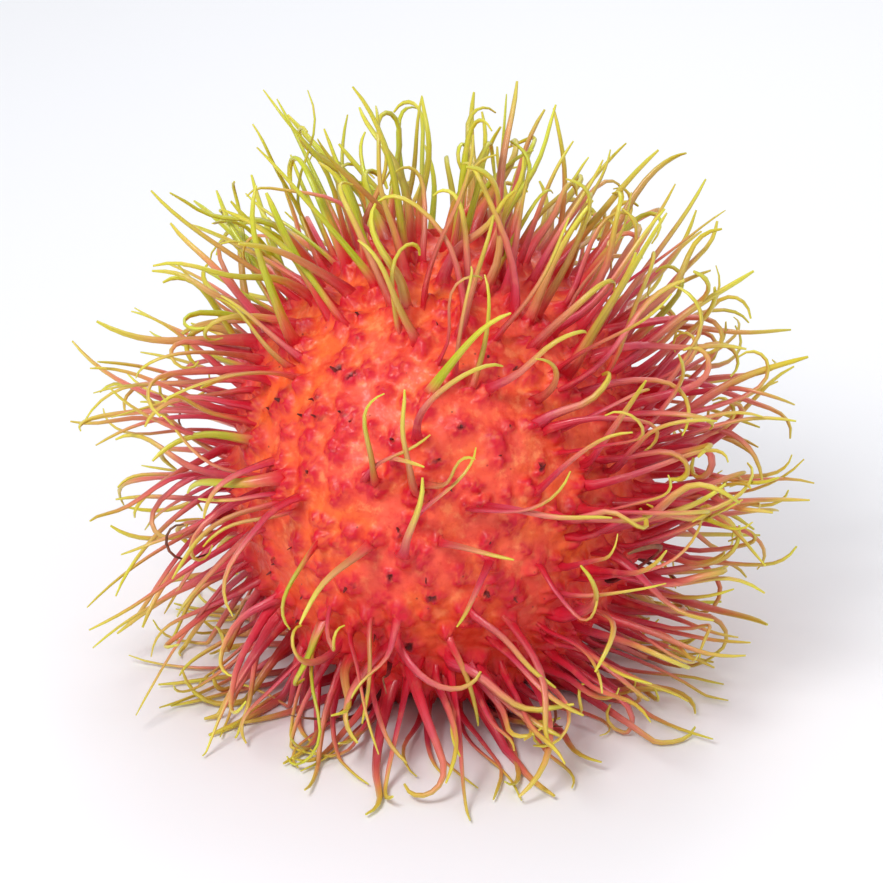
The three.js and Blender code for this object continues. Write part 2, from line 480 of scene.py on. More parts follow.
def rind_tree():
    """A fine ball that is made the fruit's spheroid, then raised into mounds round the roots and
    small cobbles between them, pitted at the scars and pressed flat below."""
    sizes = {"Roots": "Object", "Middle": "Vector", "Half Sizes": "Vector", "Skin": "Material"}
    sizes.update(dict.fromkeys((*RIND_SIZES, "Seed"), "Float"))
    tree, size, end = new_group("Rind Maker", "GeometryNodeTree", sizes, {"Geometry": "Geometry"})

    # A cube's places from -1 to 1, evened by a tangent, make a ball without poles.
    wires = {"Vertices " + way: Relief.CUBE_VERTICES for way in "XYZ"}
    cube = result(tree, "GeometryNodeMeshCube", {"Size": (2, 2, 2), **wires})
    place = result(tree, "GeometryNodeInputPosition")
    evened = vector_maths(tree, "TANGENT", scaled(tree, place, math.pi / 4))
    ball = vector_maths(tree, "NORMALIZE", evened)
    shaped = vector_maths(tree, "MULTIPLY", ball, size["Half Sizes"])
    wires = {"Vector": shaped, "Angle": size["Lean"]}
    leaned = result(tree, "ShaderNodeVectorRotate", wires, rotation_type="X_AXIS", invert=True)
    smooth = moved(tree, cube, Position=vector_maths(tree, "ADD", leaned, size["Middle"]))

    def noise(width, detail):
        wires = {"Vector": place, "W": size["Seed"], "Scale": 1 / width, "Detail": detail}
        return put(tree, "ShaderNodeTexNoise", wires, noise_dimensions="4D").outputs

    def strayed(vector, width, reach, detail=2.0):
        """A place moved aside by noise."""
        stray = vector_maths(tree, "SUBTRACT", noise(width, detail)["Color"], (0.5, 0.5, 0.5))
        return vector_maths(tree, "ADD", vector, scaled(tree, stray, reach))

    def raised(lift, width, height, detail=2.0):
        """A lift with soft hills added."""
        hills = maths(tree, "SUBTRACT", noise(width, detail)["Fac"], 0.5)
        return maths(tree, "MULTIPLY_ADD", hills, height, lift)

    # Each point reads the facts of its nearest root, with the borders between roots frayed.
    ragged = strayed(place, Relief.FRAY_WIDTH, Relief.FRAY_REACH, detail=3.0)
    ragged = strayed(ragged, Relief.BULGE_WIDTH, Relief.BULGE_REACH)
    roots = put(tree, "GeometryNodeObjectInfo", {"Object": size["Roots"]}).outputs["Geometry"]
    wires = {"Geometry": roots, "Sample Position": ragged}
    nearest = result(tree, "GeometryNodeSampleNearest", wires)

    def of_root(value, data_type="FLOAT"):
        wires = {"Geometry": roots, "Value": value, "Index": nearest}
        return result(tree, "GeometryNodeSampleIndex", wires, data_type=data_type)

    vigour, broken, darkness = (of_root(named(tree, n)) for n in ("vigour", "broken", "darkness"))
    root_place = of_root(place, "FLOAT_VECTOR")
    away = vector_maths(tree, "SUBTRACT", ragged, root_place)
    distance = vector_maths(tree, "LENGTH", away)
    spoke = scaled(tree, vector_maths(tree, "NORMALIZE", away), Relief.RIB_NUMBER)
    spoke = vector_maths(tree, "ADD", spoke, scaled(tree, root_place, 1 / Relief.RIB_CHANGE))
    streak = result(tree, "ShaderNodeTexNoise", {"Vector": spoke, "Scale": 1.0, "Detail": 2.0})
    streak = ranged(tree, streak, low=0.3, high=0.7, to_low=-1, to_high=1)

    slope = maths(tree, "DIVIDE", distance, times(tree, size["Mound Radius"], vigour))
    nearness = ranged(tree, slope, 1, 0)
    fullness = maths(tree, "SUBTRACT", 1, times(tree, broken, Relief.BROKEN_LOSS))
    steep = maths(tree, "POWER", nearness, Relief.MOUND_STEEPNESS)
    mound = times(tree, steep, fullness)
    rim = maths(tree, "MULTIPLY_ADD", darkness, Relief.PIT_GROWTH, Relief.PIT_RADIUS)
    pit = ranged(tree, slope, rim, times(tree, rim, Relief.PIT_FLOOR))
    pit = times(tree, pit, darkness)
    wires = {
        "Vector": place,
        "W": size["Seed"],
        "Scale": maths(tree, "DIVIDE", 1, size["Pebble Size"]),
        "Smoothness": Relief.COBBLE_SOFTNESS,
        "Randomness": Relief.COBBLE_SCATTER,
    }
    cobbles = put(tree, "ShaderNodeTexVoronoi", wires, voronoi_dimensions="4D", feature="SMOOTH_F1")
    crest = ranged(tree, cobbles.outputs["Distance"], *Relief.COBBLE_RANGE)

    lift = times(tree, mound, size["Mound Height"])
    lift = maths(tree, "MULTIPLY_ADD", crest, size["Pebble Height"], lift)
    lift = raised(lift, Relief.WAVE_WIDTH, Relief.WAVE_HEIGHT)
    lift = raised(lift, Relief.GRAIN_WIDTH, Relief.GRAIN_HEIGHT, detail=4.0)
    ribs = times(tree, times(tree, streak, nearness), Relief.RIB_HEIGHT)
    lift = maths(tree, "ADD", lift, ribs)
    lift = maths(tree, "SUBTRACT", lift, times(tree, pit, size["Scar Depth"]))

    facts = {"nearness": nearness, "pit": pit, "crest": crest, "streak": streak}
    for name, value in facts.items():
        smooth = stored(tree, smooth, name, value)
    normal = result(tree, "GeometryNodeInputNormal")
    rough = moved(tree, smooth, Offset=scaled(tree, normal, lift))
    rested = moved(tree, rough, Position=held_up(tree, place, "SMOOTH_MAX", Relief.FLOOR_SOFTNESS))
    finished(tree, end, rested, size["Skin"])
    return tree


def roots_object(roots):
    """A cloud of points, one for each root, for the rind's tree to read."""
    mesh = bpy.data.meshes.new("roots")
    mesh.from_pydata(roots.points.tolist(), [], [])
    broken = roots.broken.astype(float)
    hold_facts(mesh, {"broken": broken, "darkness": roots.darkness, "vigour": roots.vigour})
    return new_object("roots", mesh)


# ---------------------------------------------------------------- the spinterns


TAPER_EASE = 0.8  # below 1, a blade narrows early and is a hair for most of its length
BLUNT_FROM = 0.9  # how far along a blade its end begins to round off
BLUNT_WIDTH = 0.6  # share of its width that is left at the very tip


def blade_tree():
    """Sweeps a flat blade along each line: wide and thin at the root, narrow and round at the tip."""
    sizes = {"Lines": "Geometry", "Sides": "Int", "Skin": "Material"}
    shares = ("Flare", "Root Thickness", "Tip Thickness")
    sizes.update(dict.fromkeys((*BLADE_WIDTHS, *shares), "Float"))
    tree, size, end = new_group("Blade Maker", "GeometryNodeTree", sizes, {"Geometry": "Geometry"})

    along = named(tree, "along")
    eased = maths(tree, "POWER", along, TAPER_EASE)
    taper = mixed(tree, eased, size["Shaft Width"], size["Tip Width"])
    fading = maths(tree, "DIVIDE", along, times(tree, size["Flare"], -1))
    fading = maths(tree, "EXPONENT", fading)
    flare = maths(tree, "SUBTRACT", size["Root Width"], size["Shaft Width"])
    width = maths(tree, "MULTIPLY_ADD", flare, fading, taper)
    width = times(tree, width, ranged(tree, along, BLUNT_FROM, 1, 1, BLUNT_WIDTH))
    width = times(tree, width, named(tree, "girth"))
    radius = times(tree, width, 0.5)

    curves = result(tree, "GeometryNodeMeshToCurve", {"Mesh": size["Lines"]})
    curves = result(tree, "GeometryNodeSetCurveRadius", {"Curve": curves, "Radius": radius})
    wires = {"Curve": curves, "Tilt": named(tree, "roll")}
    curves = result(tree, "GeometryNodeSetCurveTilt", wires)
    place = result(tree, "GeometryNodeInputPosition")
    facing = result(tree, "GeometryNodeInputNormal")
    for label, value in (("spine", place), ("facing", facing)):
        curves = stored(tree, curves, label, value, "FLOAT_VECTOR")

    wires = {"Resolution": size["Sides"], "Radius": 1}
    circle = result(tree, "GeometryNodeCurvePrimitiveCircle", wires)
    circle = stored(tree, circle, "rib", place, "FLOAT_VECTOR")
    wires = {
        "Curve": curves,
        "Profile Curve": circle,
        "Scale": result(tree, "GeometryNodeInputRadius"),
        "Fill Caps": True,
    }
    blades = result(tree, "GeometryNodeCurveToMesh", wires)

    # The round section is squeezed the way the curve faced, more at the root than at the tip.
    facing = named(tree, "facing", "FLOAT_VECTOR")
    offset = vector_maths(tree, "SUBTRACT", place, named(tree, "spine", "FLOAT_VECTOR"))
    across = vector_maths(tree, "DOT_PRODUCT", offset, facing)
    thickness = mixed(tree, along, size["Root Thickness"], size["Tip Thickness"])
    squeeze = times(tree, across, maths(tree, "SUBTRACT", thickness, 1))
    blades = moved(tree, blades, Offset=scaled(tree, facing, squeeze))
    blades = moved(tree, blades, Position=held_up(tree, place, "MAXIMUM"))
    for label in ("spine", "facing"):
        wires = {"Geometry": blades, "Name": label}
        blades = result(tree, "GeometryNodeRemoveAttribute", wires)
    finished(tree, end, blades, size["Skin"])
    return tree


class Habit:
    """How each spintern grows: its length, girth, first heading, bend, hook and colouring."""

    SUNK = 0.9 * MM  # how deep a root starts inside the rind
    LOCK_LEAN = 0.22  # neighbours lean alike, as combed hair does,
    OWN_LEAN = 0.27  # and each has its own way too
    WORN_SPREAD = 0.7  # on the worn front they lean away from its middle,
    WORN_UP = 0.2  # upwards
    WORN_OWN = 0.3  # and their own way
    RIGHT_LIFT = 0.3  # how much those on the right lean up
    LIFTED = (0.2, 0.9)  # how far right that starts and is full
    LOW_REACH = 1.4  # how much those near the floor lean outwards
    LOW = (7 * MM, 1 * MM)  # how high that starts and is full
    AXIS_SPREAD = 0.2
    HOOKED_SHARE = 0.45
    HOOKED_MORE = 0.25  # what the right side has more
    HOOKED_RIGHT = (-0.2, 0.7)  # how far right that starts and is full
    HOOKED_FORWARD = 0.65  # share of the hooks that turn over their own lean
    WORN_THINNING = 0.1
    DRAWS = (  # in this order: a normal draw's middle and spread, or an even one's two ends
        ("bends", "normal", 0.25, 0.5),
        ("worn_bends", "normal", 0.6, 0.7),
        ("hooking", "uniform", 0, 1),
        ("hooks", "uniform", 0.4, 1.6),
        ("plain_hooks", "uniform", 0, 0.25),
        ("turning", "uniform", 0, 1),
        ("wavings", "normal", 0, 0.21),
        ("hook_starts", "uniform", 0.35, 0.68),
        ("paces", "uniform", 0.6, 1.6),
        ("phases", "uniform", 0, 2 * math.pi),
        ("twists", "normal", 0, 1.2),
        ("droops", "uniform", 0.4, 1.5),
        ("lengths", "uniform", 0.74, 1.2),
        ("losses", "uniform", 0, 0.35),
        ("girths", "uniform", 0.72, 1.12),
        ("rolls", "uniform", 0, math.pi),
        ("spins", "normal", 0, 0.7),
    )
    GREEN_ABOVE = 0.66  # greener above, a little so below, and less so on the right
    GREEN_BELOW = 0.08
    GREEN_LOST_RIGHT = 0.35
    GREEN_PATCHES = 0.14
    GREEN_SPREAD = 0.2
    GREEN_WORN = 0.35
    GREEN_ENDS = (0.22, 0.8)  # below the first it is a red one, and above the second a green one

    def __init__(self, scene, roots, chosen):
        spin = scene.rambutan_spinterns
        rng = np.random.default_rng(spin.seed + 1)
        count = roots.count
        ways, normals, worn = roots.ways, roots.normals, roots.worn
        elevation = scene.rambutan_stage.elevation
        upward = np.array([0, math.sin(elevation), math.cos(elevation)])
        right, up = ways[:, 0], ways @ upward

        lock = np.stack([patchy(ways, rng) for _ in range(3)], axis=1)
        lean = self.LOCK_LEAN * lock + self.OWN_LEAN * rng.normal(size=(count, 3))
        front = front_way(elevation)
        spread = ways - (ways @ front)[:, None] * front
        combed = self.WORN_SPREAD * spread + self.WORN_UP * upward
        combed = combed + self.WORN_OWN * rng.normal(size=(count, 3))
        lean += worn[:, None] * combed
        lean[:, 2] += self.RIGHT_LIFT * smooth_step(*self.LIFTED, right)
        lean -= np.sum(lean * normals, axis=1, keepdims=True) * normals
        low = smooth_step(*self.LOW, roots.points[:, 2])
        outward = normals * np.array([1, 1, 0])
        self.headings = unit(normals + lean + self.LOW_REACH * low[:, None] * outward)

        aside = lean + self.AXIS_SPREAD * rng.normal(size=(count, 3))
        self.axes = unit(np.cross(normals, aside))
        for label, kind, first, second in self.DRAWS:
            setattr(self, label, getattr(rng, kind)(first, second, count))
        self.bends += worn * self.worn_bends
        more = smooth_step(*self.HOOKED_RIGHT, right)
        hooked = self.hooking < self.HOOKED_SHARE + self.HOOKED_MORE * more
        hook = np.where(hooked, self.hooks, self.plain_hooks)
        self.hooks = spin.curl * hook * np.where(self.turning < self.HOOKED_FORWARD, 1, -1)
        self.droops *= spin.droop
        self.lengths = spin.length * self.lengths * (1 - worn * self.losses)
        self.girths = roots.vigour * self.girths * (1 - self.WORN_THINNING * worn)

        above, below = np.maximum(up, 0), np.maximum(-up, 0)
        green = self.GREEN_ABOVE * above + self.GREEN_BELOW * below
        green -= self.GREEN_LOST_RIGHT * above * right
        patched = self.GREEN_PATCHES * patchy(ways, rng)
        green += patched + self.GREEN_SPREAD * rng.normal(size=count)
        green += self.GREEN_WORN * worn * rng.random(count)
        self.greens = smooth_step(*self.GREEN_ENDS, green)
        self.tints = rng.random(count)
        for label, values in vars(self).items():
            setattr(self, label, values[chosen])
        self.points = roots.points[chosen]
        self.normals = normals[chosen]


class Growth:
    """How a line is walked out from its root."""

    STEPS = 60
    GAP = 0.42 * MM  # how far it stays off the rind and the floor
    LEANING_OVER = 0.16  # how far along it takes to turn from straight out to its own heading
    BEND_RATE = 1.6
    HOOK_RATE = 3.2
    HOOK_LENGTH = 0.35
    DROOP_RATE = 2
    GAP_GROWTH = 4  # the gap is full after one part in this many of the length
    PUSHED_BY = 1e-9  # less than this is only rounding
    SMOOTHINGS = 3
    TURN_COST = 1.1 * math.pi  # the turn that earns as many rings as the whole length does


def grown(habit, fruit):
    """Walks every spintern outwards from its root in short steps. Returns an array of lines."""
    heading, axis = habit.headings.copy(), habit.axes.copy()
    step = habit.lengths / Growth.STEPS
    line = [habit.points - habit.normals * Habit.SUNK, habit.points.copy()]
    point = habit.points.copy()
    for i in range(Growth.STEPS):
        along = (i + 0.5) / Growth.STEPS
        hook_ends = habit.hook_starts + Growth.HOOK_LENGTH
        hooking = Growth.HOOK_RATE * smooth_step(habit.hook_starts, hook_ends, along)
        turn = (habit.bends * Growth.BEND_RATE * along + habit.hooks * hooking) / Growth.STEPS
        heading = turned(heading, axis, turn)
        swing = 2 * math.pi * habit.paces
        waving = habit.wavings * swing * np.cos(swing * along + habit.phases) / Growth.STEPS
        heading = turned(heading, unit(np.cross(heading, axis)), waving)
        if along < Growth.LEANING_OVER:
            own = smooth_step(0, Growth.LEANING_OVER, along)
            heading = unit(habit.normals * (1 - own) + habit.headings * own)
        axis = turned(axis, heading, habit.twists / Growth.STEPS)
        heading[:, 2] -= habit.droops * along * Growth.DROOP_RATE / Growth.STEPS
        heading = unit(heading)
        stepped = point + heading * step[:, None]
        cleared = fruit.kept_clear(stepped, Growth.GAP * min(1, Growth.GAP_GROWTH * along))
        pushed = np.linalg.norm(cleared - stepped, axis=1) > Growth.PUSHED_BY
        heading[pushed] = unit(0.5 * heading + 0.5 * unit(cleared - point))[pushed]
        point = cleared
        line.append(point)
    lines = np.stack(line, axis=1)
    for _ in range(Growth.SMOOTHINGS):
        lines[:, 2:-1] = 0.25 * lines[:, 1:-2] + 0.5 * lines[:, 2:-1] + 0.25 * lines[:, 3:]
    lines[..., 2] = np.maximum(lines[..., 2], Growth.GAP)
    return lines


def thinned(lines, rings):
    """Each line again with a few points, closest together where it turns most. Returns the points
    and how far along each one is, from 0 to 1."""
    steps = np.diff(lines, axis=1)
    spans = np.linalg.norm(steps, axis=2)
    ways = steps / spans[..., None]
    turns = np.arccos(np.clip(np.sum(ways[:, 1:] * ways[:, :-1], axis=2), -1, 1))
    effort = spans / spans.sum(axis=1, keepdims=True)
    effort[:, 1:] += turns / Growth.TURN_COST
    start = np.zeros((len(lines), 1))
    passed = np.concatenate([start, np.cumsum(effort, axis=1)], axis=1)
    walked = np.concatenate([start, np.cumsum(spans, axis=1)], axis=1)
    points = np.empty((len(lines), rings, 3))
    along = np.empty((len(lines), rings))
    for i, (line, effort_here, walk) in enumerate(zip(lines, passed, walked)):
        marks = np.linspace(0, effort_here[-1], rings)
        for axis in range(3):
            points[i, :, axis] = np.interp(marks, effort_here, line[:, axis])
        along[i] = np.interp(marks, effort_here, walk) / walk[-1]
    return points, along


def spintern_lines(name, habit, fruit, rings):
    """A mesh of open lines, one for each spintern, with its facts stored at its points."""
    points, along = thinned(grown(habit, fruit), rings)
    count = len(points)
    first = np.arange(count)[:, None] * rings + np.arange(rings - 1)
    edges = np.stack([first, first + 1], axis=2).reshape(-1, 2)
    mesh = bpy.data.meshes.new(name)
    mesh.from_pydata(points.reshape(-1, 3).tolist(), edges.tolist(), [])
    facts = {
        "along": along,
        "girth": habit.girths[:, None],
        "roll": habit.rolls[:, None] + habit.spins[:, None] * along,
        "green": habit.greens[:, None],
        "tint": habit.tints[:, None],
    }
    shape = (count, rings)
    hold_facts(mesh, {fact: np.broadcast_to(v, shape).ravel() for fact, v in facts.items()})
    return mesh


# ---------------------------------------------------------------- materials


def dress(tree, node, **values):
    """Gives a node's inputs their values. Underscores in their names stand for spaces."""
    for label, value in values.items():
        feed(tree, node.inputs[label.replace("_", " ")], value)


def new_material(name):
    material = bpy.data.materials.new(name)
    material.use_nodes = True
    tree = material.node_tree
    return material, tree, tree.nodes["Principled BSDF"]


def mottle_group():
    """Soft patches of several sizes together, as a mask from 0 to 1."""
    inputs = {"Vector": "Vector", "Patch Size": "Float", "Low": "Float", "High": "Float"}
    tree, given, end = new_group("Mottle", "ShaderNodeTree", inputs, {"Mask": "Float"})
    wires = {"Vector": given["Vector"], "Scale": maths(tree, "DIVIDE", 1, given["Patch Size"])}
    noise = result(tree, "ShaderNodeTexNoise", {**wires, "Detail": 4.0, "Roughness": 0.6})
    close_group(tree, end, {"Mask": ranged(tree, noise, given["Low"], given["High"])})
    return tree


def fleck_group(softest=1.6, solid=0.3):
    """Small round flecks, scattered so that most places have none. A fleck fades out at softest
    times its size, and this share of that is solid."""
    inputs = {"Vector": "Vector", "Spacing": "Float", "Fleck Size": "Float", "Amount": "Float"}
    tree, given, end = new_group("Flecks", "ShaderNodeTree", inputs, {"Mask": "Float"})
    wires = {"Vector": given["Vector"], "Scale": maths(tree, "DIVIDE", 1, given["Spacing"])}
    cells = put(tree, "ShaderNodeTexVoronoi", wires).outputs
    edge = times(tree, given["Fleck Size"], softest)
    spot = ranged(tree, cells["Distance"], edge, times(tree, edge, solid))
    chance = result(tree, "ShaderNodeSeparateColor", {0: cells["Color"]})
    chosen = maths(tree, "LESS_THAN", chance, given["Amount"])
    close_group(tree, end, {"Mask": times(tree, spot, chosen)})
    return tree


def waxy_group(dimple=0.7, smoothest=0.36, roughest=0.54):
    """The fine waxy skin: a height for bump and a change of roughness."""
    inputs = {"Vector": "Vector", "Grain Size": "Float"}
    outputs = {"Height": "Float", "Roughness": "Float"}
    tree, given, end = new_group("Waxy Skin", "ShaderNodeTree", inputs, outputs)
    wires = {"Vector": given["Vector"], "Scale": maths(tree, "DIVIDE", 1, given["Grain Size"])}
    cells = put(tree, "ShaderNodeTexVoronoi", wires, feature="F1").outputs["Distance"]
    noise = result(tree, "ShaderNodeTexNoise", {**wires, "Detail": 3.0})
    height = maths(tree, "SUBTRACT", noise, times(tree, cells, dimple))
    roughness = ranged(tree, noise, 0.35, 0.65, smoothest, roughest)
    close_group(tree, end, {"Height": height, "Roughness": roughness})
    return tree


def group(tree, name, **values):
    """Places a shared shader group in a material and returns its outputs."""
    makers = {"Mottle": mottle_group, "Flecks": fleck_group, "Waxy Skin": waxy_group}
    node = tree.nodes.new("ShaderNodeGroup")
    node.node_tree = bpy.data.node_groups.get(name) or makers[name]()
    dress(tree, node, **values)
    return node.outputs


def object_place(tree):
    return put(tree, "ShaderNodeTexCoord").outputs["Object"]


def patches(tree, place, size, low, high, amount=1.0):
    """Patches of this size, as a mask that reaches amount. The closer low and high are, the
    sharper the edges, and the higher they are, the fewer the patches."""
    mask = group(tree, "Mottle", Vector=place, Patch_Size=size, Low=low, High=high)["Mask"]
    return times(tree, mask, amount)


def flecks(tree, place, spacing, size, number, amount):
    """Flecks with this spacing, as a mask that reaches amount. size is a share of the spacing, and
    number is the share of the places that have one."""
    wires = {"Vector": place, "Spacing": spacing, "Fleck_Size": size, "Amount": number}
    return times(tree, group(tree, "Flecks", **wires)["Mask"], amount)


def layered(tree, skin, *layers):
    """A skin with more colours over it, each through its own mask."""
    for mask, over in layers:
        skin = blended(tree, mask, skin, over)
    return skin


def bumped(tree, height, strength, depth):
    wires = {"Height": height, "Strength": strength, "Distance": depth}
    return result(tree, "ShaderNodeBump", wires)


def rind_material(rind):
    """Coral skin in patches, with red painted shade low down and in the creases between its cobbles,
    crimson round every root, pale patches that are partly painted highlight, dark flecks and maroon
    pits."""
    material, tree, shader = new_material("rambutan_rind")
    place = object_place(tree)
    nearness, pit, crest, streak = (
        attribute(tree, name) for name in ("nearness", "pit", "crest", "streak")
    )
    height = put(tree, "ShaderNodeSeparateXYZ", {0: place}).outputs["Z"]
    rooted = ranged(tree, nearness, low=0.08, high=0.66)
    skin = layered(
        tree,
        rind.coral,
        (patches(tree, place, 9 * MM, low=0.4, high=0.62), rind.orange),
        (patches(tree, place, 3.5 * MM, low=0.48, high=0.66, amount=0.6), rind.red),
        # pale patches: partly the skin's own mottling, partly painted highlight
        (patches(tree, place, 1.3 * MM, low=0.5, high=0.7, amount=0.5), rind.peach_and_painted_highlight),
        (patches(tree, place, 0.6 * MM, low=0.5, high=0.7, amount=0.32), rind.red),
        # painted shade: the skin turns redder towards the bottom of the fruit
        (ranged(tree, height, low=25 * MM, high=4 * MM, to_high=0.75), rind.red),
        # painted shade: the skin turns redder in the creases between the cobbles
        (ranged(tree, crest, low=0.5, high=0.1, to_high=0.22), rind.red),
        (times(tree, rooted, ranged(tree, streak, -0.8, 0.8, to_low=0.4)), rind.crimson),
        (flecks(tree, place, 1.1 * MM, size=0.09, number=0.2, amount=0.65), rind.maroon),
        (maths(tree, "POWER", pit, 0.6), rind.maroon),
    )

    waxy = group(tree, "Waxy Skin", Vector=place, Grain_Size=0.32 * MM)
    dress(
        tree,
        shader,
        Base_Color=skin,
        Roughness=waxy["Roughness"],
        Normal=bumped(tree, waxy["Height"], strength=0.35, depth=0.06 * MM),
        Specular_IOR_Level=0.4,
        Subsurface_Weight=0.1,
        Subsurface_Radius=(1.0, 0.35, 0.2),
        Subsurface_Scale=1.2 * MM,
    )
    return material


def spintern_material(spin):
    """Crimson at the root. A red spintern stays pink half way, a green one turns green sooner, and
    both end in straw."""
    material, tree, shader = new_material("rambutan_spintern")
    place = object_place(tree)
    along, green, tint = (attribute(tree, name) for name in ("along", "green", "tint"))
    rib = attribute(tree, "rib", "Vector")

    # Above its root, each one changes colour a little sooner or later, and so do its two sides.
    one_side = put(tree, "ShaderNodeSeparateXYZ", {0: rib}).outputs["X"]
    shift = times(tree, maths(tree, "SUBTRACT", tint, 0.5), 0.16)
    shift = maths(tree, "MULTIPLY_ADD", one_side, 0.09, shift)
    shifted = maths(tree, "MULTIPLY_ADD", shift, ranged(tree, along, 0.05, 0.3), along)
    reds = (
        (0.0, paint(214, 20, 38)),
        (0.16, paint(206, 38, 62)),
        (0.36, spin.pink),
        (0.58, paint(226, 128, 106)),
        (0.76, paint(216, 186, 80)),
        (1.0, spin.straw),
    )
    greens = (
        (0.0, paint(214, 20, 38)),
        (0.12, paint(214, 38, 50)),
        (0.21, paint(218, 114, 76)),
        (0.3, paint(206, 168, 54)),
        (0.4, spin.green),
        (0.78, paint(204, 212, 50)),
        (1.0, spin.straw),
    )
    skin = blended(tree, green, ramp(tree, shifted, reds), ramp(tree, shifted, greens))

    # The streaks run along a spintern, because their pattern changes only round its section.
    section = vector_maths(tree, "ADD", rib, scaled(tree, (7.0, 3.0, 5.0), tint))
    streaks = patches(tree, section, size=0.6, low=0.35, high=0.65)
    streaked = times(tree, streaks, 0.3)
    skin = blended(tree, streaked, skin, paint(226, 150, 110), blend="MULTIPLY")
    # painted highlight: pale patches laid over the spinterns
    painted_highlights = patches(tree, place, size=2.2 * MM, low=0.5, high=0.75, amount=0.25)
    skin = blended(tree, painted_highlights, skin, paint(244, 160, 116))

    waxy = group(tree, "Waxy Skin", Vector=place, Grain_Size=0.25 * MM)
    grain = times(tree, waxy["Height"], 0.3)
    ridges = maths(tree, "MULTIPLY_ADD", streaks, 0.8, grain)
    dress(
        tree,
        shader,
        Base_Color=skin,
        Normal=bumped(tree, ridges, strength=0.5, depth=0.1 * MM),
        Roughness=0.32,
        Specular_IOR_Level=0.5,
        Coat_Weight=0.22,
        Coat_Roughness=0.14,
        Subsurface_Weight=0.15,
        Subsurface_Radius=(1.0, 0.7, 0.25),
        Subsurface_Scale=0.5 * MM,
    )
    return material


def dull(tree, shader, place, skin, grain_size, strength, roughness):
    """Dresses a shader as dry matter, with a deep grain and no gloss."""
    waxy = group(tree, "Waxy Skin", Vector=place, Grain_Size=grain_size)
    normal = bumped(tree, waxy["Height"], strength, depth=0.1 * MM)
    dress(tree, shader, Base_Color=skin, Normal=normal, Roughness=roughness)


def dried_material(name, root, shaft, tip):
    """Skin that dried on the fruit, dull and shrivelled, in three colours from root to tip."""
    material, tree, shader = new_material(name)
    place = object_place(tree)
    skin = ramp(tree, attribute(tree, "along"), ((0.0, root), (0.35, shaft), (1.0, tip)))
    dark = patches(tree, place, size=1.2 * MM, low=0.4, high=0.65, amount=0.7)
    skin = blended(tree, dark, skin, paint(60, 18, 20))
    dull(tree, shader, place, skin, grain_size=0.3 * MM, strength=0.7, roughness=0.62)
    return material


def scar_material(scar):
    """Broken wood in the dish, dry bark on its rim and red skin on the collar."""
    material, tree, shader = new_material("rambutan_stem_scar")
    place = object_place(tree)
    frayed = patches(tree, place, size=0.9 * MM, low=0.3, high=0.7, amount=0.09)
    outward = maths(tree, "ADD", frayed, attribute(tree, "outward"))
    stops = (
        (0.0, paint(84, 54, 36)),
        (0.1, scar.wood),
        (0.38, paint(170, 126, 82)),
        (0.52, scar.bark),
        (0.62, paint(84, 44, 32)),
        (0.72, paint(196, 34, 36)),
        (1.0, paint(226, 62, 46)),
    )
    skin = ramp(tree, outward, stops)
    dark = patches(tree, place, size=0.7 * MM, low=0.42, high=0.7, amount=0.4)
    holes = flecks(tree, place, spacing=0.5 * MM, size=0.2, number=0.5, amount=0.7)
    skin = layered(tree, skin, (dark, paint(90, 50, 34)), (holes, paint(36, 22, 16)))
    dull(tree, shader, place, skin, grain_size=0.2 * MM, strength=0.8, roughness=0.78)
    return material


# ---------------------------------------------------------------- operators


class MakeRind(bpy.types.Operator):
    """Makes the rind, with a mound round every root and a pit at every scar"""

    bl_idname = "rambutan.make_rind"
    bl_label = "Rind"

    def execute(self, context):
        scene = context.scene
        rind = scene.rambutan_rind
        fruit = Spheroid(rind)
        roots = roots_object(Roots(scene))
        inputs = {
            **settings_for(RIND_SIZES, rind),
            "Roots": roots,
            "Middle": fruit.middle.tolist(),
            "Half Sizes": fruit.half.tolist(),
            "Seed": float(scene.rambutan_spinterns.seed),
            "Skin": rind_material(rind),
        }
        piece = baked("rind", rind_tree(), inputs)
        bpy.data.objects.remove(roots)
        hand_over(piece)
        return {"FINISHED"}


